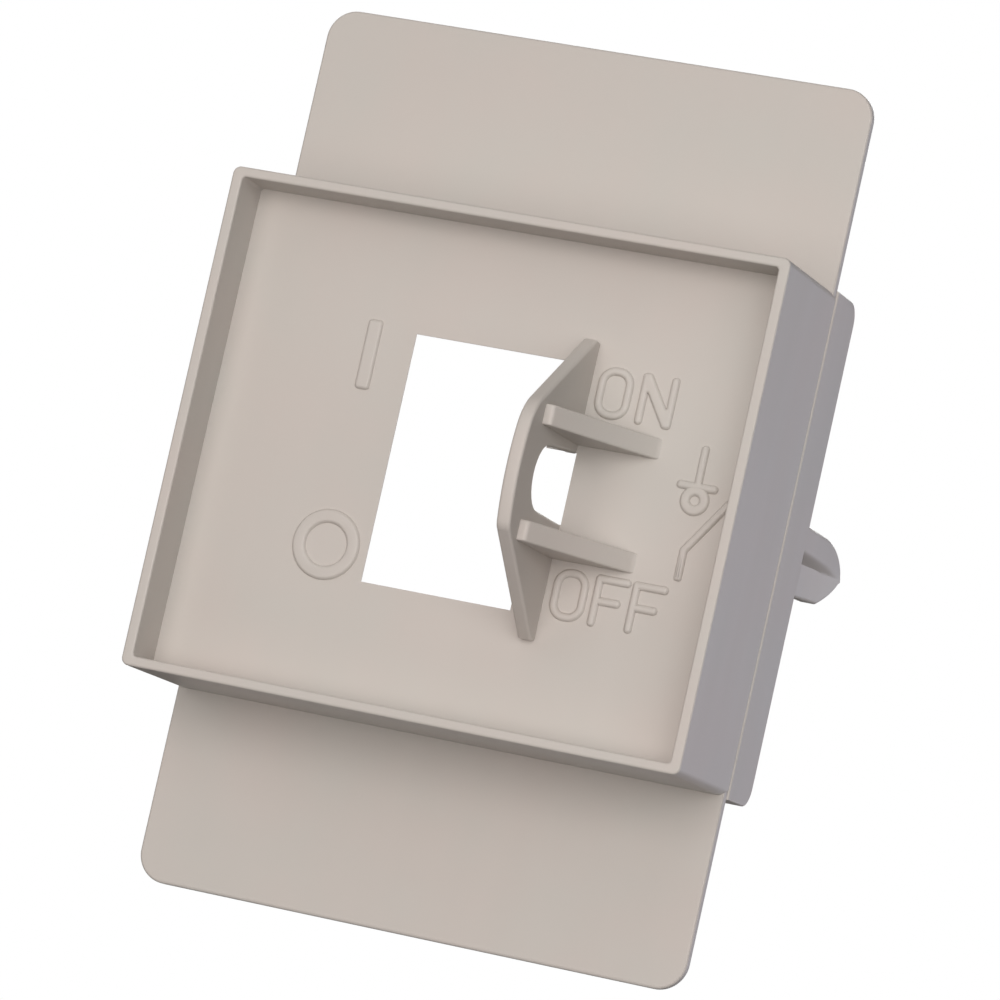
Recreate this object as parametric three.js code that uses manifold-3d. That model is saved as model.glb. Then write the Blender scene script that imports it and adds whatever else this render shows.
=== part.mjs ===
// Front cover frame of a toggle-operated switch, with a padlock guard.
// Millimetres, +Z up, the front faces -Y and +X is to the right as seen from the front.
// The origin is at the middle of the tray, in the plane of the flanges' front faces.

import * as THREE from 'three';
import { mergeVertices } from 'three/addons/utils/BufferGeometryUtils.js';
import Module from 'manifold-3d';

const wasm = await Module();
wasm.setup();

// ---- driving dimensions ----

// The tray: four walls that stand past its floor as a rim.
const TRAY_WIDTH = 52.5;
const TRAY_HEIGHT = 45.5;
const TRAY_DEPTH = 14.3;
const SIDE_WALL = 1.0;
const END_WALL = 0.9;
const TRAY_CORNER = 0.7;
const FLOOR_RECESS = 4.95;
const FLOOR_THICKNESS = 1.2;

// The toggle's window, and the notch that leads from it to the padlock hole.
const WINDOW_LEFT = -7.65;
const WINDOW_RIGHT = 6.4;
const WINDOW_TOP = 11.3;
const WINDOW_BOTTOM = -11.1;
const NOTCH_TOP = 3.42;
const NOTCH_BOTTOM = -2.93;

// The flanges above and below the tray. The upper one is half a millimetre longer.
const FLANGE_TOP = 40.95;
const FLANGE_BOTTOM = -40.45;
const FLANGE_THICKNESS = 1.05;
const FLANGE_CORNER = 2.7;

// The padlock guard: an arched fin on the floor, to the right of the window. Its hole narrows from the notch.
const GUARD_LEFT = 7.95;
const GUARD_THICKNESS = 1.3;
const GUARD_LENGTH = 26.9;
const GUARD_END_HEIGHT = 0.9;
const GUARD_SHOULDER = 5.4;
const GUARD_SHOULDER_HEIGHT = 12.75;
const GUARD_HEIGHT = 13.6;
const HOLE_WIDTH = 5.7;
const HOLE_HEIGHT = 9.5;

// The ribs that brace the fin.
const RIB_THICKNESS = 1.85;
const RIB_OFFSET = 5.1;
const RIB_LENGTH = 7.4;
const RIB_HEIGHT = 10.4;
const RIB_LAND = 0.75;

// The cheeks behind the flanges' plane, each a little proud of the tray's side wall.
const CHEEK_STEP = 0.2;
const CHEEK_THICKNESS = 2.4;
const CHEEK_DEPTH = 6.45;
const CHEEK_HEIGHT = 46.0;
const CHEEK_CORNER = 1.9;

// The snap tongues behind the cheeks, as thick as they are. The lower half of each is a ramp, from a catch at
// the root out to the tip. A tongue bends inward about the inner edge of its root.
const TONGUE_TOP = 2.75;
const TONGUE_BOTTOM = -3.5;
const TONGUE_LENGTH = 13.05;
const TONGUE_NOSE = 7.0;
const TONGUE_CORNER = [16.6, -3.1];
const TONGUE_TIP_BEND = 0.9;
const CATCH_DEPTH = 1.7;
const CATCH_EDGE = -0.2;

// The raised marks.
const MARK_HEIGHT = 0.3;
const MARK_COLUMN = -11.65;
const BAR_MIDDLE = 8.8;
const BAR_LENGTH = 6.1;
const BAR_WIDTH = 1.15;
const RING_MIDDLE = -8.5;
const RING_OUTER = 3.1;
const RING_INNER = 2.02;
const LETTER_HEIGHT = 4.4;
const LETTER_STROKE = 0.52;
const LETTER_N_WIDTH = 3.17;
const LETTER_N_LEFT = 13.93;
const LETTER_F_WIDTH = 3.05;
const LETTER_F_LEFT = 13.7;
const LETTER_F_PITCH = 3.42;
const LETTER_O_WIDTH = 3.05;
const LETTER_O_LEFT = 9.97;
const WORD_ON_BASE = 7.0;
const WORD_OFF_BASE = -11.1;
const SYMBOL_COLUMN = 20.8;
const SYMBOL_STROKE = 0.6;
const SYMBOL_TOP = 6.0;
const SYMBOL_BOTTOM = -5.8;
const CONTACT_HEIGHT = 2.45;
const CONTACT_REACH = 1.8;
const CONTACT_RING = 1.25;
const CONTACT_RING_WALL = 0.72;
const BLADE_FOOT = -3.2;
const BLADE_TIP = [23.9, 1.4];

// ---- sizes that follow from them ----

const SIDE = TRAY_WIDTH / 2;
const TOP = TRAY_HEIGHT / 2;
const INNER_SIDE = SIDE - SIDE_WALL;
const INNER_TOP = TOP - END_WALL;
const FLOOR_FRONT = FLOOR_RECESS - TRAY_DEPTH;
const FLOOR_BACK = FLOOR_FRONT + FLOOR_THICKNESS;
const GUARD_RIGHT = GUARD_LEFT + GUARD_THICKNESS;
const HOLE_RADIUS = HOLE_WIDTH / 2;
const CHEEK_OUTER = SIDE + CHEEK_STEP;
const CHEEK_BACK = FLANGE_THICKNESS + CHEEK_DEPTH;

const ARC_STEPS = 24;

// ---- materials ----

const PLASTIC = { color: 0xbdb7b0, roughness: 0.55, metalness: 0 };

// ---- helpers ----

// A closed geometry as a manifold-3d solid.
function solid(geometry) {
  const bare = geometry.clone();
  bare.deleteAttribute('normal');
  bare.deleteAttribute('uv');
  const merged = mergeVertices(bare, 1e-5);
  return new wasm.Manifold(new wasm.Mesh({
    numProp: 3,
    vertProperties: new Float32Array(merged.attributes.position.array),
    triVerts: new Uint32Array(merged.index.array),
  }));
}

// A manifold-3d solid as a three.js geometry.
function geometryOf(body) {
  const mesh = body.getMesh();
  const geometry = new THREE.BufferGeometry();
  geometry.setAttribute('position', new THREE.BufferAttribute(new Float32Array(mesh.vertProperties), 3));
  geometry.setIndex(new THREE.BufferAttribute(new Uint32Array(mesh.triVerts), 1));
  geometry.computeVertexNormals();
  return geometry;
}

// A box between two opposite corners.
function block(low, high) {
  const box = new THREE.BoxGeometry(high[0] - low[0], high[1] - low[1], high[2] - low[2]);
  box.translate((low[0] + high[0]) / 2, (low[1] + high[1]) / 2, (low[2] + high[2]) / 2);
  return box;
}

// A shape drawn in X and Z, extruded along Y from front to back.
function plateXZ(shape, front, back) {
  const plate = new THREE.ExtrudeGeometry(shape, {
    depth: back - front, bevelEnabled: false, curveSegments: ARC_STEPS,
  });
  plate.rotateX(Math.PI / 2);
  plate.translate(0, back, 0);
  return plate;
}

// A shape drawn in Y and Z, extruded along X from left to right.
function plateYZ(shape, left, right) {
  const plate = new THREE.ExtrudeGeometry(shape, {
    depth: right - left, bevelEnabled: false, curveSegments: ARC_STEPS,
  });
  plate.rotateX(Math.PI / 2);
  plate.rotateZ(Math.PI / 2);
  plate.translate(left, 0, 0);
  return plate;
}

// A shape drawn in X and Y, extruded along Z from bottom to top.
function plateXY(shape, bottom, top) {
  const plate = new THREE.ExtrudeGeometry(shape, {
    depth: top - bottom, bevelEnabled: false, curveSegments: ARC_STEPS,
  });
  plate.translate(0, 0, bottom);
  return plate;
}

// A rectangle whose four corners are given their radii: low left, low right, high right, high left.
function rectangle(left, low, right, high, [lowLeft, lowRight, highRight, highLeft]) {
  const shape = new THREE.Shape();
  const quarter = Math.PI / 2;
  shape.moveTo(left + lowLeft, low);
  shape.lineTo(right - lowRight, low);
  if (lowRight > 0) shape.absarc(right - lowRight, low + lowRight, lowRight, -quarter, 0, false);
  shape.lineTo(right, high - highRight);
  if (highRight > 0) shape.absarc(right - highRight, high - highRight, highRight, 0, quarter, false);
  shape.lineTo(left + highLeft, high);
  if (highLeft > 0) shape.absarc(left + highLeft, high - highLeft, highLeft, quarter, 2 * quarter, false);
  shape.lineTo(left, low + lowLeft);
  if (lowLeft > 0) shape.absarc(left + lowLeft, low + lowLeft, lowLeft, 2 * quarter, 3 * quarter, false);
  return shape;
}

// The same geometry on the other side of the frame, with its faces still pointing out.
function mirrored(geometry) {
  const copy = geometry.index ? geometry.toNonIndexed() : geometry.clone();
  copy.deleteAttribute('normal');
  copy.deleteAttribute('uv');
  const position = copy.attributes.position;
  for (let corner = 0; corner < position.count; corner += 3) {
    const swap = [corner, corner + 2, corner + 1].map((index) => (
      [-position.getX(index), position.getY(index), position.getZ(index)]
    ));
    swap.forEach(([x, y, z], offset) => position.setXYZ(corner + offset, x, y, z));
  }
  const merged = mergeVertices(copy, 1e-5);
  merged.computeVertexNormals();
  return merged;
}

const frame = new THREE.Group();

function add(name, geometry) {
  const material = new THREE.MeshStandardMaterial(PLASTIC);
  const mesh = new THREE.Mesh(geometry, material);
  mesh.name = name;
  frame.add(mesh);
}

// ---- the tray ----

// A side wall has rounded outer corners in front of the flanges, and is square between them.
function sideWall() {
  const outline = rectangle(INNER_SIDE, -TOP, SIDE, TOP, [0, TRAY_CORNER, TRAY_CORNER, 0]);
  const front = solid(plateXZ(outline, -TRAY_DEPTH, FLANGE_THICKNESS));
  const back = solid(block([INNER_SIDE, 0, -TOP], [SIDE, FLANGE_THICKNESS, TOP]));
  return geometryOf(front.add(back));
}

function addTray() {
  add('wall_right', sideWall());
  add('wall_left', mirrored(sideWall()));
  add('wall_top', block([-INNER_SIDE, -TRAY_DEPTH, INNER_TOP], [INNER_SIDE, FLANGE_THICKNESS, TOP]));
  add('wall_bottom', block([-INNER_SIDE, -TRAY_DEPTH, -TOP], [INNER_SIDE, FLANGE_THICKNESS, -INNER_TOP]));

  const floor = rectangle(-INNER_SIDE, -INNER_TOP, INNER_SIDE, INNER_TOP, [0, 0, 0, 0]);
  const window = new THREE.Path();
  window.moveTo(WINDOW_LEFT, WINDOW_BOTTOM);
  window.lineTo(WINDOW_LEFT, WINDOW_TOP);
  window.lineTo(WINDOW_RIGHT, WINDOW_TOP);
  window.lineTo(WINDOW_RIGHT, NOTCH_TOP);
  window.lineTo(GUARD_RIGHT, NOTCH_TOP);
  window.lineTo(GUARD_RIGHT, NOTCH_BOTTOM);
  window.lineTo(WINDOW_RIGHT, NOTCH_BOTTOM);
  window.lineTo(WINDOW_RIGHT, WINDOW_BOTTOM);
  window.closePath();
  floor.holes.push(window);
  add('tray_floor', plateXZ(floor, FLOOR_FRONT, FLOOR_BACK));
}

// ---- the flanges ----

function addFlanges() {
  const upper = rectangle(-SIDE, TOP, SIDE, FLANGE_TOP, [0, 0, FLANGE_CORNER, FLANGE_CORNER]);
  const lower = rectangle(-SIDE, FLANGE_BOTTOM, SIDE, -TOP, [FLANGE_CORNER, FLANGE_CORNER, 0, 0]);
  add('flange_upper', plateXZ(upper, 0, FLANGE_THICKNESS));
  add('flange_lower', plateXZ(lower, 0, FLANGE_THICKNESS));
}

// ---- the padlock guard ----

// The fin's outline in Y and Z: blunt ends, straight flanks and a crest that is an arc between two shoulders.
function guardOutline() {
  const halfLength = GUARD_LENGTH / 2;
  const rise = GUARD_HEIGHT - GUARD_SHOULDER_HEIGHT;
  const crestRadius = (GUARD_SHOULDER ** 2 + rise ** 2) / (2 * rise);
  const crestCentre = FLOOR_FRONT - GUARD_HEIGHT + crestRadius;
  const halfAngle = Math.asin(GUARD_SHOULDER / crestRadius);

  const outline = new THREE.Shape();
  outline.moveTo(FLOOR_FRONT, NOTCH_TOP);
  outline.lineTo(FLOOR_FRONT, halfLength);
  outline.lineTo(FLOOR_FRONT - GUARD_END_HEIGHT, halfLength);
  outline.lineTo(FLOOR_FRONT - GUARD_SHOULDER_HEIGHT, GUARD_SHOULDER);
  outline.absarc(crestCentre, 0, crestRadius, Math.PI - halfAngle, Math.PI + halfAngle, false);
  outline.lineTo(FLOOR_FRONT - GUARD_END_HEIGHT, -halfLength);
  outline.lineTo(FLOOR_FRONT, -halfLength);
  outline.lineTo(FLOOR_FRONT, NOTCH_BOTTOM);
  const holeCentre = FLOOR_FRONT - HOLE_HEIGHT + HOLE_RADIUS;
  outline.lineTo(holeCentre, -HOLE_RADIUS);
  outline.absarc(holeCentre, 0, HOLE_RADIUS, 1.5 * Math.PI, 0.5 * Math.PI, true);
  outline.closePath();
  return outline;
}

// A rib's outline in X and Y: a short land at the fin, then a slope down to the floor.
function ribOutline() {
  const outline = new THREE.Shape();
  outline.moveTo(GUARD_RIGHT, FLOOR_FRONT);
  outline.lineTo(GUARD_RIGHT, FLOOR_FRONT - RIB_HEIGHT);
  outline.lineTo(GUARD_RIGHT + RIB_LAND, FLOOR_FRONT - RIB_HEIGHT);
  outline.lineTo(GUARD_RIGHT + RIB_LENGTH, FLOOR_FRONT);
  outline.closePath();
  return outline;
}

function addGuard() {
  add('padlock_guard', plateYZ(guardOutline(), GUARD_LEFT, GUARD_RIGHT));
  for (const [name, middle] of [['guard_rib_upper', RIB_OFFSET], ['guard_rib_lower', -RIB_OFFSET]]) {
    add(name, plateXY(ribOutline(), middle - RIB_THICKNESS / 2, middle + RIB_THICKNESS / 2));
  }
}

// ---- the cheeks and the snap tongues ----

function cheek() {
  const half = CHEEK_HEIGHT / 2;
  const outline = rectangle(
    FLANGE_THICKNESS, -half, CHEEK_BACK, half, [0, CHEEK_CORNER, CHEEK_CORNER, 0],
  );
  return plateYZ(outline, CHEEK_OUTER - CHEEK_THICKNESS, CHEEK_OUTER);
}

// The tongue's outline in Y and Z: the nose is round above, and below it runs to a corner in a flatter curve.
function tongueOutline() {
  const noseStart = CHEEK_BACK + TONGUE_LENGTH - TONGUE_NOSE;
  const middle = (TONGUE_TOP + TONGUE_BOTTOM) / 2;
  const halfHeight = (TONGUE_TOP - TONGUE_BOTTOM) / 2;
  const [cornerY, cornerZ] = TONGUE_CORNER;
  const tip = CHEEK_BACK + TONGUE_LENGTH;
  const outline = new THREE.Shape();
  outline.moveTo(CHEEK_BACK, TONGUE_BOTTOM);
  outline.lineTo(cornerY, cornerZ);
  outline.quadraticCurveTo(tip - TONGUE_TIP_BEND, (cornerZ + middle) / 2, tip, middle);
  outline.absellipse(noseStart, middle, TONGUE_NOSE, halfHeight, 0, Math.PI / 2, false, 0);
  outline.lineTo(CHEEK_BACK, TONGUE_TOP);
  outline.closePath();
  return outline;
}

// What the catch takes away from the lower half: a wedge, deepest at the root.
function catchWedge() {
  const spare = 1;
  const tip = CHEEK_BACK + TONGUE_LENGTH;
  const slope = CATCH_DEPTH / TONGUE_LENGTH;
  const outline = new THREE.Shape();
  outline.moveTo(CHEEK_OUTER - CATCH_DEPTH - slope * spare, CHEEK_BACK - spare);
  outline.lineTo(CHEEK_OUTER + spare, CHEEK_BACK - spare);
  outline.lineTo(CHEEK_OUTER + spare, tip);
  outline.lineTo(CHEEK_OUTER, tip);
  outline.closePath();
  return plateXY(outline, TONGUE_BOTTOM - spare, CATCH_EDGE);
}

function tongue() {
  const blank = solid(plateYZ(tongueOutline(), CHEEK_OUTER - CHEEK_THICKNESS, CHEEK_OUTER));
  return geometryOf(blank.subtract(solid(catchWedge())));
}

function addSides() {
  add('cheek_right', cheek());
  add('cheek_left', mirrored(cheek()));
  add('tongue_right', tongue());
  add('tongue_left', mirrored(tongue()));
}

// ---- the raised marks ----

// A closed outline through the given corners.
function outlineOf(corners) {
  return new THREE.Shape(corners.map(([x, z]) => new THREE.Vector2(x, z)));
}

// An upright bar with round ends.
function roundBar(x, low, high, width) {
  const radius = width / 2;
  return rectangle(x - radius, low, x + radius, high, [radius, radius, radius, radius]);
}

// An upright oval ring.
function oval(x, z, halfWidth, halfHeight, width) {
  const shape = new THREE.Shape();
  shape.absellipse(x, z, halfWidth, halfHeight, 0, 2 * Math.PI, false, 0);
  const hole = new THREE.Path();
  hole.absellipse(x, z, halfWidth - width, halfHeight - width, 0, 2 * Math.PI, true, 0);
  shape.holes.push(hole);
  return shape;
}

function raised(shape) {
  return plateXZ(shape, FLOOR_FRONT - MARK_HEIGHT, FLOOR_FRONT);
}

function letterN(left, base) {
  const right = left + LETTER_N_WIDTH;
  const top = base + LETTER_HEIGHT;
  const drop = LETTER_STROKE * 1.5;
  return outlineOf([
    [left, base], [left + LETTER_STROKE, base], [left + LETTER_STROKE, top - drop],
    [right - LETTER_STROKE, base], [right, base], [right, top],
    [right - LETTER_STROKE, top], [right - LETTER_STROKE, base + drop],
    [left + LETTER_STROKE, top], [left, top],
  ]);
}

function letterF(left, base) {
  const right = left + LETTER_F_WIDTH;
  const armEnd = left + LETTER_F_WIDTH * 0.8;
  const top = base + LETTER_HEIGHT;
  const armLow = base + (LETTER_HEIGHT - LETTER_STROKE) / 2;
  return outlineOf([
    [left, base], [left + LETTER_STROKE, base], [left + LETTER_STROKE, armLow],
    [armEnd, armLow], [armEnd, armLow + LETTER_STROKE],
    [left + LETTER_STROKE, armLow + LETTER_STROKE], [left + LETTER_STROKE, top - LETTER_STROKE],
    [right, top - LETTER_STROKE], [right, top], [left, top],
  ]);
}

function letterO(left, base) {
  const halfWidth = LETTER_O_WIDTH / 2;
  const halfHeight = LETTER_HEIGHT / 2;
  return oval(left + halfWidth, base + halfHeight, halfWidth, halfHeight, LETTER_STROKE);
}

function addWords() {
  add('word_on_o', raised(letterO(LETTER_O_LEFT, WORD_ON_BASE)));
  add('word_on_n', raised(letterN(LETTER_N_LEFT, WORD_ON_BASE)));
  add('word_off_o', raised(letterO(LETTER_O_LEFT, WORD_OFF_BASE)));
  add('word_off_f_1', raised(letterF(LETTER_F_LEFT, WORD_OFF_BASE)));
  add('word_off_f_2', raised(letterF(LETTER_F_LEFT + LETTER_F_PITCH, WORD_OFF_BASE)));
}

function addSigns() {
  add('mark_on_bar', raised(roundBar(
    MARK_COLUMN, BAR_MIDDLE - BAR_LENGTH / 2, BAR_MIDDLE + BAR_LENGTH / 2, BAR_WIDTH,
  )));
  add('mark_off_ring', raised(
    oval(MARK_COLUMN, RING_MIDDLE, RING_OUTER, RING_OUTER, RING_OUTER - RING_INNER),
  ));
}

// The switch-disconnector symbol: a fixed contact with its crossbar and ring, and the open blade below it.
function addSymbol() {
  const half = SYMBOL_STROKE / 2;
  const contactTee = outlineOf([
    [SYMBOL_COLUMN - CONTACT_REACH, CONTACT_HEIGHT - half],
    [SYMBOL_COLUMN + CONTACT_REACH, CONTACT_HEIGHT - half],
    [SYMBOL_COLUMN + CONTACT_REACH, CONTACT_HEIGHT + half],
    [SYMBOL_COLUMN + half, CONTACT_HEIGHT + half],
    [SYMBOL_COLUMN + half, SYMBOL_TOP],
    [SYMBOL_COLUMN - half, SYMBOL_TOP],
    [SYMBOL_COLUMN - half, CONTACT_HEIGHT + half],
    [SYMBOL_COLUMN - CONTACT_REACH, CONTACT_HEIGHT + half],
  ]);
  const ring = oval(SYMBOL_COLUMN, CONTACT_HEIGHT - CONTACT_RING, CONTACT_RING, CONTACT_RING, CONTACT_RING_WALL);
  add('symbol_contact', geometryOf(solid(raised(contactTee)).add(solid(raised(ring)))));

  // The blade's two edges, half a stroke to each side of the line from its foot to its tip.
  const [tipX, tipZ] = BLADE_TIP;
  const length = Math.hypot(tipX - SYMBOL_COLUMN, tipZ - BLADE_FOOT);
  const sideX = (half * (tipZ - BLADE_FOOT)) / length;
  const sideZ = (half * (tipX - SYMBOL_COLUMN)) / length;
  const mitre = (half - sideX) * ((tipX - SYMBOL_COLUMN) / (tipZ - BLADE_FOOT)) + sideZ;
  add('symbol_blade', raised(outlineOf([
    [SYMBOL_COLUMN - half, SYMBOL_BOTTOM],
    [SYMBOL_COLUMN + half, SYMBOL_BOTTOM],
    [SYMBOL_COLUMN + half, BLADE_FOOT - mitre / 2],
    [tipX + sideX, tipZ - sideZ],
    [tipX - sideX, tipZ + sideZ],
    [SYMBOL_COLUMN - half, BLADE_FOOT + mitre / 2],
  ])));
}

addTray();
addFlanges();
addGuard();
addSides();
addSigns();
addWords();
addSymbol();

export default frame;
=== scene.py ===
"""The looks of the switch cover frame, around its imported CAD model.

Sizes are in millimetres unless a comment says metres, and to_metres turns a finished mesh into metres.
Positions come from the CAD nodes' boxes, and what those plain solids don't hold, such as soft edges and
fillets, is named here.
"""

import math

import bmesh
import bpy
from mathutils import Matrix, Vector
from mathutils.geometry import tessellate_polygon


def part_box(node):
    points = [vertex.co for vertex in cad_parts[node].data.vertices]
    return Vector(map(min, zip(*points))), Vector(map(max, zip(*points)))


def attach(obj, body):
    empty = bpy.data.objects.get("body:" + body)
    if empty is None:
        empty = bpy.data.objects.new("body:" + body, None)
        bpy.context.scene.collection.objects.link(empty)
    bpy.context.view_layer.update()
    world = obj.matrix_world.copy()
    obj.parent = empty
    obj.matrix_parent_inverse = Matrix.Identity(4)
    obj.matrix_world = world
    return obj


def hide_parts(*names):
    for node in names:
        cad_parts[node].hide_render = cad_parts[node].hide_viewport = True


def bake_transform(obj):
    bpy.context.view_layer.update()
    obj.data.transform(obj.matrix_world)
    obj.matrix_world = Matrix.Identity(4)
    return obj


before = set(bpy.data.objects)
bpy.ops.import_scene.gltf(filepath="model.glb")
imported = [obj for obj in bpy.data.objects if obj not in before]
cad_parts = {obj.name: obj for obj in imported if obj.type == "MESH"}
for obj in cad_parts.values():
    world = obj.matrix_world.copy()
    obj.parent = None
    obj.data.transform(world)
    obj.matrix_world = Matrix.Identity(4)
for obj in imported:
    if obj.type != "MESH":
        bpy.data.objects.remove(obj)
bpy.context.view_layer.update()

# ---- the camera ----

LENS = 211.83
CAMERA_AZIMUTH = 19.609
CAMERA_ELEVATION = -5.796
CAMERA_TILT = 12.616
CAMERA_DISTANCE = 524.85
CAMERA_AIM = (-0.007, 0.0, -0.796)

# ---- edges and steps of the moulding ----

ARC_STEPS = 8
SOFT_STEPS = 4
SHARP_ANGLE = 35
SUNK = 0.35
SKIN = 0.01

RIM_SOFT = 0.2
RIM_CORNER = 0.7
RIM_INNER_CORNER = 0.35
RIM_DRAFT = 0.05
WINDOW_SOFT = 0.12
WINDOW_RELIEF = 0.5
FLANGE_SOFT = 0.24
FLANGE_CORNER = 2.7
GUARD_SOFT = 0.28
RIB_SOFT = 0.2
CHEEK_SOFT = 0.18
CHEEK_CORNER = 1.9

# The fin's side view.
GUARD_END_HEIGHT = 0.9
SHOULDER = 5.4
SHOULDER_HEIGHT = 12.75
UPPER_FILLET = 4.5
LOWER_FILLET = 1.4
HOLE_HEIGHT = 9.5
HOLE_HALF = 2.85
NOTCH_TOP = 3.42
NOTCH_BOTTOM = -2.93

# The ribs' side view.
RIB_LAND = 0.75
RIB_LAND_FILLET = 0.5
RIB_HOLLOW = 0.18
RIB_STEPS = 12
RIB_HOLLOW_FROM = 3
RIB_TOE_FILLET = 1.6
RIB_TOE_SLANT = 20
RIB_TOE_DEPTH = 0.6

# The tongues.
TONGUE_SOFT = 0.35
TONGUE_SOFT_SHARE = 0.3
TONGUE_NOSE = 7.0
TONGUE_MIDDLE = -0.375
TONGUE_CORNER = (16.6, -3.1)
TONGUE_TIP_BEND = 0.9
BAND_TOP = 0.85
BAND_BOTTOM = -0.2
CATCH_DEPTH = 1.75
CATCH_POWER = 3
TONGUE_STEPS = 24
TONGUE_ROUND_STEPS = 56

# The raised marks.
MARK_SOFT = 0.17
MARK_FLANK = 0.14
STROKE = 0.5
STROKE_END = 0.24
STROKE_BEND = 0.12
N_DROP = STROKE * 1.6
N_OFFSET = 0.1
F_ARM_SHARE = 0.8
RING_OUTER = 3.05
RING_INNER = 2.05
SYMBOL_COLUMN = 20.8
CROSSBAR = 2.45
CONTACT_RING = 1.22
CONTACT_HOLE = 0.52
BLADE_FOOT = -3.2
BLADE_TIP = (23.9, 1.4)

# The plastic: two close greys in patches, a sheen that varies, fine grain and slow waves.
# A noise's scale is in repeats per metre, and a bump's distance is in metres.
FRONT_COLOUR = (0.535, 0.489, 0.452, 1)
COOL_COLOUR = (0.520, 0.492, 0.455, 1)
PATCH_SCALE = 75
PATCH_FROM = 0.35
PATCH_TO = 0.65
SHEEN_SCALE = 400
SHEEN_STRETCH = (1, 1, 0.15)
SHEEN_LOW = 0.42
SHEEN_HIGH = 0.6
GRAIN_SCALE = 5500
GRAIN_STRENGTH = 0.25
GRAIN_DISTANCE = 0.00001
WAVE_SCALE = 220
WAVE_STRENGTH = 0.3
WAVE_DISTANCE = 0.00004

# The studio, in metres.
FLOOR_DROP = 0.45
FLOOR_SIZE = 0.7
FLOOR_SEGMENTS = 96
FLOOR_PAINT = (0.6, 0.6, 0.6, 1)
FLOOR_ROUGHNESS = 0.9
LIGHT_DISTANCE = 1.0
LIGHT_SIZE = 0.8
WHITE = (1.0, 1.0, 1.0)
WARM = (1.0, 0.92, 0.88)
COOL = (0.85, 0.85, 1.0)

# A wide soft light in front, weaker ones around it, and two behind that show the sides and the back.
# Each is: azimuth, elevation, power in watts, tint.
LIGHTS = {
    "front": (0, 0, 5, WARM),
    "front_right": (20, 10, 3, WHITE),
    "right": (45, 0, 2.5, WHITE),
    "left_above": (-60, 25, 1.5, WHITE),
    "above": (0, 50, 1.5, WHITE),
    "rear_right": (135, 0, 4, COOL),
    "rear_left": (200, 20, 7, WHITE),
}


def to_metres(vector):
    return vector * 0.001


def span(node):
    """The lowest and highest corner of a CAD node, in millimetres."""
    low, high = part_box(node)
    return low * 1000, high * 1000


WALL_LOW, WALL_HIGH = span("wall_right")
FLOOR_LOW, FLOOR_HIGH = span("tray_floor")
GUARD_LOW, GUARD_HIGH = span("padlock_guard")
CHEEK_LOW, CHEEK_HIGH = span("cheek_right")
TONGUE_LOW, TONGUE_HIGH = span("tongue_right")
MARK_LOW, MARK_HIGH = span("mark_on_bar")

SIDE = WALL_HIGH.x
TOP = WALL_HIGH.z
RIM = WALL_LOW.y
FLANGE_BACK = WALL_HIGH.y
INNER_SIDE = FLOOR_HIGH.x
INNER_TOP = FLOOR_HIGH.z
FLOOR_FRONT = FLOOR_LOW.y
FLOOR_BACK = FLOOR_HIGH.y

# ---- outlines ----


def arc(centre, radius, start, end, steps=ARC_STEPS):
    """Points along an arc, both ends included; the angles are in radians."""
    angles = [start + (end - start) * step / steps for step in range(steps + 1)]
    return [centre + radius * Vector((math.cos(angle), math.sin(angle))) for angle in angles]


def rounded(corners, steps=ARC_STEPS):
    """A closed outline through corners (u, v, radius), each rounded to its own radius."""
    outline = []
    for index, (u, v, radius) in enumerate(corners):
        here = Vector((u, v))
        if radius == 0:
            outline.append(here)
            continue
        back = (Vector(corners[index - 1][:2]) - here).normalized()
        ahead = (Vector(corners[(index + 1) % len(corners)][:2]) - here).normalized()
        half = back.angle(ahead) / 2
        centre = here + (back + ahead).normalized() * radius / math.sin(half)
        start = here + back * radius / math.tan(half) - centre
        end = here + ahead * radius / math.tan(half) - centre
        first = math.atan2(start.y, start.x)
        turn = math.remainder(math.atan2(end.y, end.x) - first, 2 * math.pi)
        outline += arc(centre, radius, first, first + turn, steps)
    return outline


def rectangle(left, low, right, high, radius=0, steps=ARC_STEPS):
    corners = [(left, low), (right, low), (right, high), (left, high)]
    return rounded([(u, v, radius) for u, v in corners], steps)


def turned(outline, anticlockwise):
    """The outline, reversed if it doesn't run that way round."""
    area = sum(
        outline[index - 1].x * point.y - point.x * outline[index - 1].y
        for index, point in enumerate(outline)
    )
    return outline if (area > 0) == anticlockwise else outline[::-1]


def inset(outline, distance):
    """Every point moved to the left of the way the outline runs, with mitred corners."""
    moved = []
    for index, point in enumerate(outline):
        before = (point - outline[index - 1]).normalized()
        after = (outline[(index + 1) % len(outline)] - point).normalized()
        left = Vector((-before.y, before.x))
        mitre = left + Vector((-after.y, after.x))
        moved.append(point + mitre * distance / (1 + left.dot(Vector((-after.y, after.x)))))
    return moved


# ---- meshes ----

PLANES = {
    "XZ": lambda u, v, depth: Vector((u, depth, v)),
    "YZ": lambda u, v, depth: Vector((depth, u, v)),
    "XY": lambda u, v, depth: Vector((u, v, depth)),
}


def finished(name, mesh_builder):
    """A smooth-shaded object in metres from a bmesh in millimetres, with its sharp corners kept sharp."""
    bmesh.ops.recalc_face_normals(mesh_builder, faces=mesh_builder.faces)
    for face in mesh_builder.faces:
        face.smooth = True
    for edge in mesh_builder.edges:
        edge.smooth = edge.calc_face_angle(0) < math.radians(SHARP_ANGLE)
    for vertex in mesh_builder.verts:
        vertex.co = to_metres(vertex.co)
    mesh = bpy.data.meshes.new(name)
    mesh_builder.to_mesh(mesh)
    mesh_builder.free()
    piece = bpy.data.objects.new(name, mesh)
    bpy.context.scene.collection.objects.link(piece)
    shading = piece.modifiers.new("even_shading", "WEIGHTED_NORMAL")
    shading.keep_sharp = True
    return piece


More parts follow.
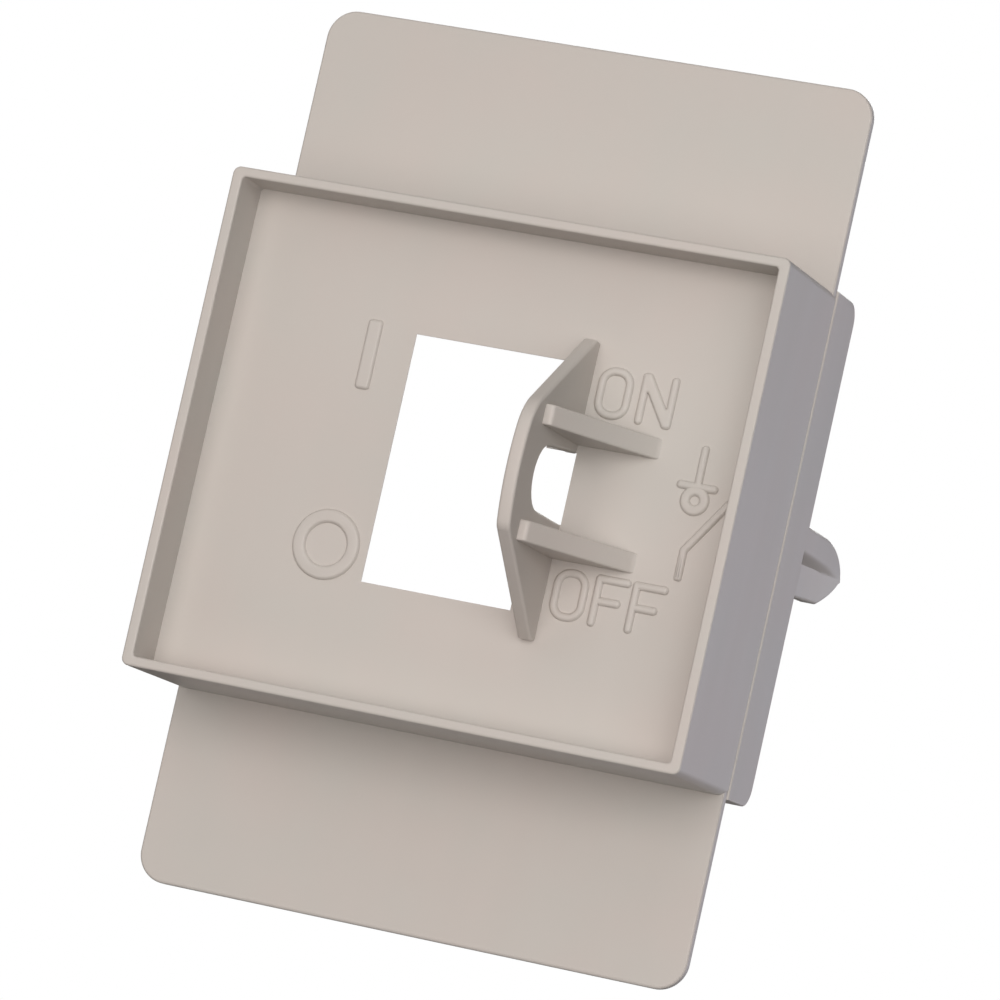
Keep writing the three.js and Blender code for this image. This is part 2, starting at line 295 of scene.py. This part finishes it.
def soft_stations(start, end, soft_start, soft_end):
    """(depth, inset, share of the length) from one cap of a prism to the other, round at both edges."""
    stations = []
    for soft, cap, inward in ((soft_start, start, 1), (soft_end, end, -1)):
        steps = SOFT_STEPS if soft > 0 else 0
        round_edge = []
        for step in range(steps + 1):
            angle = math.pi / 2 * step / steps if steps else math.pi / 2
            round_edge.append((cap + inward * soft * (1 - math.cos(angle)), soft * (1 - math.sin(angle))))
        stations += round_edge if inward == 1 else round_edge[::-1]
    return [(depth, shrink, (depth - start) / (end - start)) for depth, shrink in stations]


def add_prism(mesh_builder, plane, outline, start, end, soft_start, soft_end, holes=(), flare=0, relief=0):
    """A closed prism with soft edges, drawn in a plane and running from start to end across it.

    Towards the end the material grows by the flare on every wall, which narrows a hole. The relief then
    widens the holes.
    """
    place = PLANES[plane]
    loops = [(turned(outline, True), -flare)] + [(turned(hole, False), relief - flare) for hole in holes]
    rings = []
    for depth, shrink, share in soft_stations(start, end, soft_start, soft_end):
        rings.append([
            [mesh_builder.verts.new(place(*point, depth)) for point in inset(loop, shrink + move * share)]
            for loop, move in loops
        ])
    for ring, following in zip(rings, rings[1:]):
        for near, far in zip(ring, following):
            for index in range(len(near)):
                mesh_builder.faces.new((near[index - 1], near[index], far[index], far[index - 1]))
    for ring in (rings[0], rings[-1]):
        corners = [vertex for loop in ring for vertex in loop]
        for triangle in tessellate_polygon([[vertex.co for vertex in loop] for loop in ring]):
            mesh_builder.faces.new([corners[index] for index in triangle])


def prism(name, *args, **kwargs):
    mesh_builder = bmesh.new()
    add_prism(mesh_builder, *args, **kwargs)
    return finished(name, mesh_builder)


def mirrored(piece, name):
    """The same piece on the other side of the frame."""
    mesh_builder = bmesh.new()
    mesh_builder.from_mesh(piece.data)
    bmesh.ops.scale(mesh_builder, vec=(-1000, 1000, 1000), verts=mesh_builder.verts)
    return finished(name, mesh_builder)


# ---- the moulded plastic ----


def moulded_plastic():
    material = bpy.data.materials.new("moulded_plastic")
    material.use_nodes = True
    nodes = material.node_tree.nodes
    links = material.node_tree.links
    shader = nodes["Principled BSDF"]
    place = nodes.new("ShaderNodeTexCoord").outputs["Object"]

    def noise(scale, detail, stretch=None):
        texture = nodes.new("ShaderNodeTexNoise")
        texture.inputs["Scale"].default_value = scale
        texture.inputs["Detail"].default_value = detail
        source = place
        if stretch:
            mapping = nodes.new("ShaderNodeMapping")
            mapping.inputs["Scale"].default_value = stretch
            links.new(place, mapping.inputs["Vector"])
            source = mapping.outputs["Vector"]
        links.new(source, texture.inputs["Vector"])
        return texture.outputs["Fac"]

    mottle = nodes.new("ShaderNodeMix")
    mottle.data_type = "RGBA"
    mottle.inputs["A"].default_value = FRONT_COLOUR
    mottle.inputs["B"].default_value = COOL_COLOUR
    patches = nodes.new("ShaderNodeMapRange")
    patches.inputs["From Min"].default_value = PATCH_FROM
    patches.inputs["From Max"].default_value = PATCH_TO
    links.new(noise(PATCH_SCALE, 3), patches.inputs["Value"])
    links.new(patches.outputs["Result"], mottle.inputs["Factor"])
    links.new(mottle.outputs["Result"], shader.inputs["Base Color"])

    sheen = nodes.new("ShaderNodeMapRange")
    sheen.inputs["To Min"].default_value = SHEEN_LOW
    sheen.inputs["To Max"].default_value = SHEEN_HIGH
    links.new(noise(SHEEN_SCALE, 4, SHEEN_STRETCH), sheen.inputs["Value"])
    links.new(sheen.outputs["Result"], shader.inputs["Roughness"])

    grain = nodes.new("ShaderNodeBump")
    grain.inputs["Strength"].default_value = GRAIN_STRENGTH
    grain.inputs["Distance"].default_value = GRAIN_DISTANCE
    links.new(noise(GRAIN_SCALE, 3), grain.inputs["Height"])
    waves = nodes.new("ShaderNodeBump")
    waves.inputs["Strength"].default_value = WAVE_STRENGTH
    waves.inputs["Distance"].default_value = WAVE_DISTANCE
    links.new(noise(WAVE_SCALE, 2), waves.inputs["Height"])
    links.new(grain.outputs["Normal"], waves.inputs["Normal"])
    links.new(waves.outputs["Normal"], shader.inputs["Normal"])
    return material


PLASTIC = moulded_plastic()


def settle(piece, nodes, body="root"):
    """Gives a piece its plastic, hides the CAD nodes it replaces, and hangs it under the root body when that
    is its body; other bodies get nothing.
    """
    piece.data.materials.append(PLASTIC)
    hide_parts(*nodes)
    if body == "root":
        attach(piece, "root")


# ---- the tray ----


def make_walls():
    outer = rectangle(-SIDE, -TOP, SIDE, TOP, RIM_CORNER)
    inner = rectangle(-INNER_SIDE, -INNER_TOP, INNER_SIDE, INNER_TOP, RIM_INNER_CORNER)
    walls = prism(
        "tray_walls", "XZ", outer, RIM, FLANGE_BACK - SKIN, RIM_SOFT, RIM_SOFT, [inner], flare=RIM_DRAFT,
    )
    settle(walls, ["wall_left", "wall_right", "wall_top", "wall_bottom"])


def make_floor():
    low, high, right = window_span()
    window = [Vector(point) for point in (
        (low.x, low.y), (right, low.y), (right, NOTCH_BOTTOM), (high.x, NOTCH_BOTTOM),
        (high.x, NOTCH_TOP), (right, NOTCH_TOP), (right, high.y), (low.x, high.y),
    )]
    outline = rectangle(-INNER_SIDE - SUNK, -INNER_TOP - SUNK, INNER_SIDE + SUNK, INNER_TOP + SUNK)
    floor = prism(
        "tray_floor_panel", "XZ", outline, FLOOR_FRONT, FLOOR_BACK, WINDOW_SOFT, WINDOW_SOFT, [window],
        relief=WINDOW_RELIEF,
    )
    settle(floor, ["tray_floor"])


def window_span():
    """The lowest and highest corners of the floor's opening, and the right edge of its window."""
    points = [vertex.co * 1000 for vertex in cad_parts["tray_floor"].data.vertices]
    inner = [point for point in points if abs(point.x) < INNER_SIDE - 1 and abs(point.z) < INNER_TOP - 1]
    low = Vector((min(point.x for point in inner), min(point.z for point in inner)))
    high = Vector((max(point.x for point in inner), max(point.z for point in inner)))
    right = max(point.x for point in inner if point.z > high.y - SKIN)
    return low, high, right


def make_flanges():
    for name, node, sign in (("upper_flange", "flange_upper", 1), ("lower_flange", "flange_lower", -1)):
        low, high = span(node)
        root, end = (low.z, high.z) if sign > 0 else (high.z, low.z)
        outline = rounded([
            (-SIDE, root - sign * SUNK, 0), (SIDE, root - sign * SUNK, 0),
            (SIDE, end, FLANGE_CORNER), (-SIDE, end, FLANGE_CORNER),
        ], 2 * ARC_STEPS)
        flange = prism(name, "XZ", outline, low.y, high.y, FLANGE_SOFT, FLANGE_SOFT)
        settle(flange, [node])


# ---- the padlock guard ----


def guard_outline():
    """The fin from the side: blunt ends, straight flanks and an arched crest, joined by fillets."""
    half_length = GUARD_HIGH.z
    crest_height = FLOOR_FRONT - GUARD_LOW.y
    rise = crest_height - SHOULDER_HEIGHT
    crest_radius = (SHOULDER ** 2 + rise ** 2) / (2 * rise)
    crest_centre = Vector((crest_height - crest_radius, 0))
    flank_start = Vector((GUARD_END_HEIGHT, half_length))
    flank = (Vector((SHOULDER_HEIGHT, SHOULDER)) - flank_start).normalized()
    inward = Vector((flank.y, -flank.x))

    def shoulder(radius):
        """The fillet between the flank and the crest, and the crest's angle where it ends."""
        start = flank_start + inward * radius - crest_centre
        along = -start.dot(flank)
        along += math.sqrt(start.dot(flank) ** 2 - start.dot(start) + (crest_radius - radius) ** 2)
        centre = start + flank * along
        first = math.atan2(-inward.y, -inward.x)
        last = math.atan2(centre.y, centre.x)
        return arc(centre + crest_centre, radius, first, last), last

    upper, upper_angle = shoulder(UPPER_FILLET)
    lower, lower_angle = shoulder(LOWER_FILLET)
    crest = arc(crest_centre, crest_radius, upper_angle, -lower_angle, 2 * ARC_STEPS)[1:-1]
    mirrored_lower = [Vector((point.x, -point.y)) for point in lower[::-1]]
    foot = -SUNK
    hole_top = arc(Vector((HOLE_HEIGHT - HOLE_HALF, 0)), HOLE_HALF, -math.pi / 2, math.pi / 2, 2 * ARC_STEPS)
    heights = [
        Vector((foot, half_length)), flank_start, *upper, *crest, *mirrored_lower,
        Vector((GUARD_END_HEIGHT, -half_length)), Vector((foot, -half_length)),
        Vector((foot, NOTCH_BOTTOM - SKIN)), Vector((0, NOTCH_BOTTOM - SKIN)), *hole_top,
        Vector((0, NOTCH_TOP + SKIN)), Vector((foot, NOTCH_TOP + SKIN)),
    ]
    return [Vector((FLOOR_FRONT - height.x, height.y)) for height in heights]


def rib_outline(low, high):
    """A rib from its end: a land beside the fin, then a slightly hollow slope that curves into the floor."""
    land_end = Vector((GUARD_HIGH.x + RIB_LAND, low.y))
    toe = Vector((high.x, FLOOR_FRONT))
    slope = toe - land_end
    out = Vector((slope.y, -slope.x)).normalized()
    hollow = [
        land_end + slope * share - out * RIB_HOLLOW * math.sin(math.pi * share)
        for share in (step / RIB_STEPS for step in range(RIB_HOLLOW_FROM, RIB_STEPS))
    ]
    root = GUARD_HIGH.x - SUNK
    foot = FLOOR_FRONT + RIB_TOE_DEPTH
    sunk_end = high.x + RIB_TOE_DEPTH / math.tan(math.radians(RIB_TOE_SLANT))
    corners = [
        (root, foot, 0), (root, low.y, 0), (*land_end, RIB_LAND_FILLET),
        *((*point, 0) for point in hollow), (*toe, RIB_TOE_FILLET), (sunk_end, foot, 0),
    ]
    return rounded(corners)


def make_guard():
    guard = prism(
        "padlock_guard_fin", "YZ", guard_outline(), GUARD_LOW.x, GUARD_HIGH.x, GUARD_SOFT, GUARD_SOFT,
    )
    settle(guard, ["padlock_guard"])
    for node in ("guard_rib_upper", "guard_rib_lower"):
        low, high = span(node)
        rib = prism(node + "_web", "XY", rib_outline(low, high), low.z, high.z, RIB_SOFT, RIB_SOFT)
        settle(rib, [node])


# ---- the cheeks and the tongues ----


def make_cheeks():
    outline = rounded([
        (CHEEK_LOW.y - SUNK / 2, CHEEK_LOW.z, 0), (CHEEK_HIGH.y, CHEEK_LOW.z, CHEEK_CORNER),
        (CHEEK_HIGH.y, CHEEK_HIGH.z, CHEEK_CORNER), (CHEEK_LOW.y - SUNK / 2, CHEEK_HIGH.z, 0),
    ])
    right = prism("right_cheek", "YZ", outline, CHEEK_LOW.x, CHEEK_HIGH.x, CHEEK_SOFT, CHEEK_SOFT)
    left = mirrored(right, "left_cheek")
    settle(right, ["cheek_right"])
    settle(left, ["cheek_left"])


def tongue_section(y, low, high):
    """The tongue cut across at y, as points in X and Z: the lower half steps in to the ramp."""
    ramp = min(max((TONGUE_HIGH.y - y) / (TONGUE_HIGH.y - TONGUE_LOW.y), 0), 1)
    soft = min(TONGUE_SOFT, (high - low) * TONGUE_SOFT_SHARE)
    outer, inner = [], []
    for step in range(TONGUE_ROUND_STEPS + 1):
        share = (1 - math.cos(math.pi * step / TONGUE_ROUND_STEPS)) / 2
        z = high + (low - high) * share
        edge = min(share, 1 - share) * (high - low)
        round_off = soft - math.sqrt(soft ** 2 - (soft - edge) ** 2) if edge < soft else 0
        sunk = min(max((BAND_TOP - z) / (BAND_TOP - BAND_BOTTOM), 0), 1) ** CATCH_POWER
        outer.append(Vector((TONGUE_HIGH.x - SKIN / 2 - CATCH_DEPTH * ramp * sunk - round_off, y, z)))
        inner.append(Vector((TONGUE_LOW.x + SKIN / 2 + round_off, y, z)))
    return outer + inner[::-1]


def tongue_stations():
    """(y, lowest z, highest z) along the tongue: a round nose above, a corner and a flatter curve below."""
    root, tip = TONGUE_LOW.y, TONGUE_HIGH.y
    corner_y, corner_z = TONGUE_CORNER
    nose_start = tip - TONGUE_NOSE
    bend = (tip - TONGUE_TIP_BEND, (corner_z + TONGUE_MIDDLE) / 2)

    def top(y):
        along = max(y - nose_start, 0) / TONGUE_NOSE
        return TONGUE_MIDDLE + (TONGUE_HIGH.z - TONGUE_MIDDLE) * math.sqrt(max(1 - along ** 2, 0))

    straight = [root - SUNK + (corner_y - root + SUNK) * step / TONGUE_STEPS for step in range(TONGUE_STEPS)]
    slope = (corner_z - TONGUE_LOW.z) / (corner_y - root)
    stations = [(y, TONGUE_LOW.z + slope * max(y - root, 0), top(y)) for y in straight]
    for step in range(TONGUE_STEPS):
        share = math.sin(math.pi / 2 * step / TONGUE_STEPS)
        weights = ((1 - share) ** 2, 2 * share * (1 - share), share ** 2)
        y = sum(weight * part for weight, part in zip(weights, (corner_y, bend[0], tip)))
        low = sum(weight * part for weight, part in zip(weights, (corner_z, bend[1], TONGUE_MIDDLE)))
        stations.append((y, low, top(y)))
    return stations


def make_tongues():
    sections = [tongue_section(*station) for station in tongue_stations()]
    mesh_builder = bmesh.new()
    rings = [[mesh_builder.verts.new(point) for point in section] for section in sections]
    for near, far in zip(rings, rings[1:]):
        for index in range(len(near)):
            mesh_builder.faces.new((near[index - 1], near[index], far[index], far[index - 1]))
    mesh_builder.faces.new(rings[0])
    mesh_builder.faces.new(rings[-1])
    right = finished("right_tongue", mesh_builder)
    left = mirrored(right, "left_tongue")
    for tongue, side in ((right, "right"), (left, "left")):
        settle(tongue, ["tongue_" + side], "snap_" + side)
        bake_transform(tongue)


# ---- the raised marks ----


def mark(name, node, outlines, holes=()):
    """A raised mark with sloping flanks, its outlines given at the top of the flanks."""
    mesh_builder = bmesh.new()
    for index, outline in enumerate(outlines):
        front = MARK_LOW.y + index * SKIN
        add_prism(
            mesh_builder, "XZ", outline, front, FLOOR_FRONT + SUNK, MARK_SOFT, 0,
            [hole for owner, hole in holes if owner == index],
            flare=MARK_FLANK * (FLOOR_FRONT + SUNK - front) / (FLOOR_FRONT - front),
        )
    settle(finished(name, mesh_builder), [node])


def ring_outline(centre, radius):
    return arc(Vector(centre), radius, 0, 2 * math.pi, 8 * ARC_STEPS)[:-1]


def letter_o(name, node):
    low, high = span(node)
    radius = (high.x - low.x) / 2
    outer = rectangle(low.x, low.z, high.x, high.z, radius - MARK_FLANK, 2 * ARC_STEPS)
    inner = rectangle(
        low.x + STROKE, low.z + STROKE, high.x - STROKE, high.z - STROKE, radius - STROKE - MARK_FLANK,
        2 * ARC_STEPS,
    )
    mark(name, node, [outer], [(0, inner)])


def letter_n(name, node):
    low, high = span(node)
    mark(name, node, [rounded([
        (low.x, low.z, STROKE_END), (low.x + STROKE, low.z, STROKE_END),
        (low.x + STROKE, high.z - N_DROP - STROKE, STROKE_BEND),
        (high.x - STROKE - N_OFFSET, low.z, STROKE_END), (high.x, low.z, STROKE_END),
        (high.x, high.z, STROKE_END),
        (high.x - STROKE, high.z, STROKE_END), (high.x - STROKE, low.z + N_DROP + STROKE, STROKE_BEND),
        (low.x + STROKE + N_OFFSET, high.z, STROKE_END), (low.x, high.z, STROKE_END),
    ])])


def letter_f(name, node):
    low, high = span(node)
    arm_end = low.x + (high.x - low.x) * F_ARM_SHARE
    arm = (low.z + high.z) / 2
    half = STROKE / 2
    mark(name, node, [rounded([
        (low.x, low.z, STROKE_END), (low.x + STROKE, low.z, STROKE_END),
        (low.x + STROKE, arm - half, STROKE_BEND), (arm_end, arm - half, STROKE_END),
        (arm_end, arm + half, STROKE_END), (low.x + STROKE, arm + half, STROKE_BEND),
        (low.x + STROKE, high.z - STROKE, STROKE_BEND), (high.x, high.z - STROKE, STROKE_END),
        (high.x, high.z, STROKE_END), (low.x, high.z, STROKE_END),
    ])])


def make_marks():
    low, high = span("mark_on_bar")
    mark("on_bar", "mark_on_bar", [rectangle(low.x, low.z, high.x, high.z, STROKE_END)])
    low, high = span("mark_off_ring")
    centre = ((low.x + high.x) / 2, (low.z + high.z) / 2)
    outer, inner = ring_outline(centre, RING_OUTER), ring_outline(centre, RING_INNER)
    mark("off_ring", "mark_off_ring", [outer], [(0, inner)])
    letter_o("on_letter_o", "word_on_o")
    letter_n("on_letter_n", "word_on_n")
    letter_o("off_letter_o", "word_off_o")
    letter_f("off_letter_f_1", "word_off_f_1")
    letter_f("off_letter_f_2", "word_off_f_2")
    make_symbol()


def make_symbol():
    """The open contact of a switch: a fixed contact with its crossbar and ring, and the blade below it."""
    low, high = span("symbol_contact")
    half = STROKE / 2
    tee = rounded([
        (low.x, CROSSBAR - half, STROKE_END), (high.x, CROSSBAR - half, STROKE_END),
        (high.x, CROSSBAR + half, STROKE_END), (SYMBOL_COLUMN + half, CROSSBAR + half, STROKE_BEND),
        (SYMBOL_COLUMN + half, high.z, STROKE_END), (SYMBOL_COLUMN - half, high.z, STROKE_END),
        (SYMBOL_COLUMN - half, CROSSBAR + half, STROKE_BEND), (low.x, CROSSBAR + half, STROKE_END),
    ])
    centre = (SYMBOL_COLUMN, CROSSBAR - CONTACT_RING)
    ring = ring_outline(centre, CONTACT_RING)
    hole = ring_outline(centre, CONTACT_HOLE)
    mark("contact_symbol", "symbol_contact", [tee, ring], [(1, hole)])

    low, high = span("symbol_blade")
    foot = Vector((SYMBOL_COLUMN, BLADE_FOOT))
    along = (Vector(BLADE_TIP) - foot).normalized()
    side = Vector((along.y, -along.x)) * half
    tip = Vector(BLADE_TIP)
    bend = half * math.tan(math.atan2(along.x, along.y) / 2)
    mark("blade_symbol", "symbol_blade", [rounded([
        (SYMBOL_COLUMN - half, low.z, STROKE_BEND), (SYMBOL_COLUMN + half, low.z, STROKE_BEND),
        (SYMBOL_COLUMN + half, BLADE_FOOT - bend, STROKE), (*(tip + side), 0), (*(tip - side), 0),
        (SYMBOL_COLUMN - half, BLADE_FOOT + bend, STROKE),
    ])])


# ---- the studio ----


def direction(azimuth, elevation):
    a, e = math.radians(azimuth), math.radians(elevation)
    return Vector((math.sin(a) * math.cos(e), -math.cos(a) * math.cos(e), math.sin(e)))


def make_lights():
    for name, (azimuth, elevation, power, tint) in LIGHTS.items():
        lamp = bpy.data.lights.new(name, "AREA")
        lamp.shape = "DISK"
        lamp.size = LIGHT_SIZE
        lamp.energy = power
        lamp.color = tint
        light = bpy.data.objects.new(name, lamp)
        back = direction(azimuth, elevation)
        light.location = back * LIGHT_DISTANCE
        light.rotation_euler = (-back).to_track_quat("-Z", "Y").to_euler()
        bpy.context.scene.collection.objects.link(light)


def make_world():
    """Plain white behind the object that only the camera sees, so that the lamps alone light it."""
    world = bpy.data.worlds.new("studio")
    world.use_nodes = True
    bpy.context.scene.world = world
    nodes = world.node_tree.nodes
    links = world.node_tree.links
    background = nodes["Background"]
    background.inputs["Color"].default_value = (1, 1, 1, 1)
    ray = nodes.new("ShaderNodeLightPath").outputs["Is Camera Ray"]
    strength = nodes.new("ShaderNodeMapRange")
    strength.inputs["To Min"].default_value = 0.0
    strength.inputs["To Max"].default_value = 1.0
    links.new(ray, strength.inputs["Value"])
    links.new(strength.outputs["Result"], background.inputs["Strength"])


def make_floor_sheet():
    """A pale studio floor: a round sheet well below the part."""
    mesh_builder = bmesh.new()
    bmesh.ops.create_circle(mesh_builder, cap_ends=True, radius=FLOOR_SIZE / 2, segments=FLOOR_SEGMENTS)
    mesh = bpy.data.meshes.new("studio_floor")
    mesh_builder.to_mesh(mesh)
    mesh_builder.free()
    sheet = bpy.data.objects.new("studio_floor", mesh)
    sheet.location.z = -FLOOR_DROP
    bpy.context.scene.collection.objects.link(sheet)
    paint = bpy.data.materials.new("studio_paint")
    paint.use_nodes = True
    shader = paint.node_tree.nodes["Principled BSDF"]
    shader.inputs["Base Color"].default_value = FLOOR_PAINT
    shader.inputs["Roughness"].default_value = FLOOR_ROUGHNESS
    mesh.materials.append(paint)


def make_camera():
    data = bpy.data.cameras.new("camera")
    data.lens = LENS
    data.clip_start = 0.01
    camera = bpy.data.objects.new("camera", data)
    back = direction(CAMERA_AZIMUTH, CAMERA_ELEVATION)
    turn = (-back).to_track_quat("-Z", "Y").to_matrix().to_4x4()
    camera.matrix_world = (
        Matrix.Translation(to_metres(Vector(CAMERA_AIM) + back * CAMERA_DISTANCE))
        @ turn @ Matrix.Rotation(math.radians(CAMERA_TILT), 4, "Z")
    )
    bpy.context.scene.collection.objects.link(camera)
    bpy.context.scene.camera = camera


make_camera()
make_walls()
make_floor()
make_flanges()
make_guard()
make_cheeks()
make_tongues()
make_marks()
make_lights()
make_world()
make_floor_sheet()
bpy.context.scene.view_settings.view_transform = "Standard"
